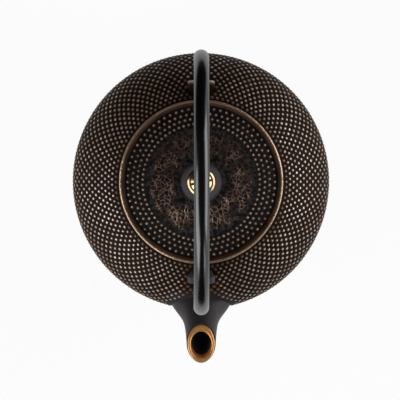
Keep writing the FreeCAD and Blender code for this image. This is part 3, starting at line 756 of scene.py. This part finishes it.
def stage():
    """A white floor under the pot and a dark studio with a white skyline."""
    corners = [(FLOOR_HALF * x, FLOOR_HALF * y, 0) for x, y in ((-1, -1), (1, -1), (1, 1), (-1, 1))]
    mesh = bpy.data.meshes.new("floor")
    mesh.from_pydata(corners, [], [(0, 1, 2, 3)])
    mesh.materials.append(floor_white())
    floor = bpy.data.objects.new("floor", mesh)
    bpy.context.scene.collection.objects.link(floor)

    world = bpy.data.worlds.new("studio")
    bpy.context.scene.world = world
    world.use_nodes = True
    tree = world.node_tree
    tree.nodes.clear()
    way = tree.nodes.new("ShaderNodeTexCoord").outputs["Generated"]
    split = tree.nodes.new("ShaderNodeSeparateXYZ")
    tree.links.new(way, split.inputs[0])
    sky = tree.nodes.new("ShaderNodeMapRange")
    sky.interpolation_type = "SMOOTHSTEP"
    limits = ("From Min", "From Max", "To Min", "To Max")
    for key, level in zip(limits, (*SKYLINE, *SKY_STRENGTHS)):
        sky.inputs[key].default_value = level
    tree.links.new(split.outputs["Z"], sky.inputs["Value"])
    back = tree.nodes.new("ShaderNodeBackground")
    back.inputs["Color"].default_value = (*WHITE, 1)
    tree.links.new(sky.outputs[0], back.inputs["Strength"])
    out = tree.nodes.new("ShaderNodeOutputWorld")
    tree.links.new(back.outputs[0], out.inputs[0])


def black_card(name, left, right, depth, low):
    """A dark board that stands before or behind the pot, for its reflections alone."""
    s = Surface(name)
    s.add("OutputMaterial", {0: s.add("BsdfDiffuse", {"Color": (*CARD_BLACK, 1)}).outputs[0]})
    corners = [(left, depth, low), (right, depth, low),
               (right, depth, CARD_TOP), (left, depth, CARD_TOP)]
    mesh = bpy.data.meshes.new(name)
    mesh.from_pydata(corners, [], [(0, 1, 2, 3)])
    mesh.materials.append(s.material)
    card = bpy.data.objects.new(name, mesh)
    bpy.context.scene.collection.objects.link(card)
    card.visible_camera = False
    card.visible_diffuse = False
    card.visible_shadow = False


def softbox(name, turn, rise, width, height, power):
    """A large rectangular lamp that faces the pot, from a turn and a rise above the floor in degrees."""
    turn = math.radians(turn)
    rise = math.radians(rise)
    aim = Vector((0, 0, WIDEST_HEIGHT))
    way = Vector((math.cos(turn) * math.cos(rise), math.sin(turn) * math.cos(rise), math.sin(rise)))
    lamp = bpy.data.lights.new(name, "AREA")
    lamp.shape = "RECTANGLE"
    lamp.size = width
    lamp.size_y = height
    lamp.energy = power
    box = bpy.data.objects.new(name, lamp)
    box.location = aim + way * LAMP_DISTANCE
    box.rotation_euler = way.to_track_quat("Z", "Y").to_euler()
    box.visible_camera = False
    bpy.context.scene.collection.objects.link(box)


def camera():
    """Looks down from above the rear, far off, with the photograph's frame."""
    centre = PHOTO_PIXELS / 2
    aim = Vector((
        (centre - AXIS_PIXEL[0]) * PIXEL,
        (AXIS_PIXEL[1] - centre) * PIXEL,
        WIDEST_HEIGHT,
    ))
    way = Vector((*SIGHT_LEAN, 1)).normalized()
    data = bpy.data.cameras.new("camera")
    data.sensor_width = SENSOR
    data.lens = SENSOR * CAMERA_DISTANCE / (PHOTO_PIXELS * PIXEL)
    data.clip_end = SIGHT_END
    eye = bpy.data.objects.new("camera", data)
    eye.location = aim + way * CAMERA_DISTANCE
    right = Vector((0, 1, 0)).cross(way).normalized()
    eye.rotation_euler = Matrix((right, way.cross(right), way)).transposed().to_euler()
    bpy.context.scene.collection.objects.link(eye)
    bpy.context.scene.camera = eye


# Materials of the CAD nodes
lid_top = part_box("lid")[1]
bead_height = lid_height(surface_of("lid"), lid_top.x - BEAD_CREST, 0)[0]
iron = pot_iron(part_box("pot_body")[1].x)
paint("pot_body", iron)
paint("pot_foot", iron)
paint("spout", spout_iron())
paint("lid", lid_iron(lid_top.x, bead_height))
paint("bail_handle", bail_enamel())
paint("lid_knob", knob_enamel())
brass = aged_brass()
for piece in ("knob_washer", "knob_screw", "knob_nut"):
    paint(piece, brass)
steel = strainer_steel()
paint("strainer_rim", steel)

# Pieces that the scene adds
belly_nails(rubbed_iron(
    "belly_nail_iron", flanks=(FLANK_DARK, FLANK_LIGHT), tips=(TIP_DARK, TIP_LIGHT),
    rubbed=(0.50, 0.88), least=-0.6, metal=0.6, polish=0.30))
lid_nails(rubbed_iron(
    "lid_nail_iron", flanks=(LID_FLANK_DARK, LID_FLANK_LIGHT), tips=(TIP_DARK, TIP_LIGHT),
    rubbed=(0.56, 0.95), least=-0.3, metal=0.6, polish=0.30))
lid_veins(rubbed_iron(
    "vein_iron", flanks=(LID_FLANK_DARK, LID_FLANK_LIGHT), tips=(VEIN_DARK, VEIN_LIGHT),
    rubbed=(0.28, 0.78), least=0.2, metal=0.9, polish=0.22))
lip = spout_lip(copper_lip())
strainer_sheets(steel)

# The bail's front tip mirrors the pale floor, not the spout.
nodes["spout"].visible_glossy = False
lip.visible_glossy = False

# Floor, lamps and camera
stage()
black_card("front_card", left=-0.058, right=0.058, depth=-0.17, low=0.046)
black_card("rear_card", left=-0.40, right=0.10, depth=0.17, low=0.045)
softbox("right_softbox", turn=5, rise=21, width=2.3, height=1.15, power=28)
softbox("left_softbox", turn=210, rise=21, width=2.25, height=1.15, power=28)
softbox("front_strip", turn=-54, rise=14, width=0.4, height=0.8, power=2)
camera()
bpy.context.scene.view_settings.view_transform = "Standard"
